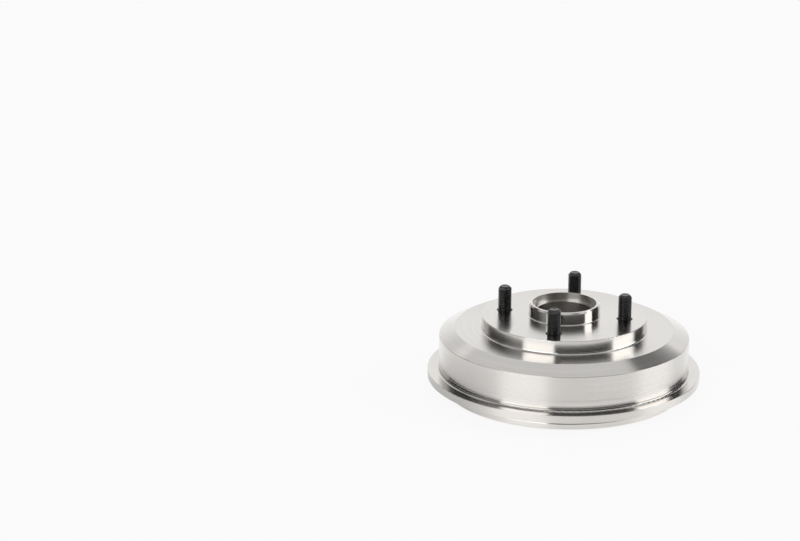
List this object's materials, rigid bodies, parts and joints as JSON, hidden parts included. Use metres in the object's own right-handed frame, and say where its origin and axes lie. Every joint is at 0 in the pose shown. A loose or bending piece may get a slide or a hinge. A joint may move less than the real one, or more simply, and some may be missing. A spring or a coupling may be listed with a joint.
{
  "type": "brake drum",
  "caption": "Turned rear brake drum with an integral hub, stepped bearing bore, wheel spigot, dirt flange and pressed-in threaded wheel studs.",
  "frame": {"origin": "centre of the open rim plane, which the drum rests on", "axes": "+Z along the axle from the open rim up through the hub face; one pair of studs lies on X and the other on Y"},
  "size_m": [0.243, 0.243, 0.0913],
  "materials": {
    "turned_iron": "fine turned, bright",
    "phosphated_steel": "black phosphate, matt"
  },
  "bodies": {
    "root": {"brake_drum": "turned_iron", "wheel_stud_1": "phosphated_steel", "wheel_stud_2": "phosphated_steel", "wheel_stud_3": "phosphated_steel", "wheel_stud_4": "phosphated_steel"}
  },
  "joints": []
}
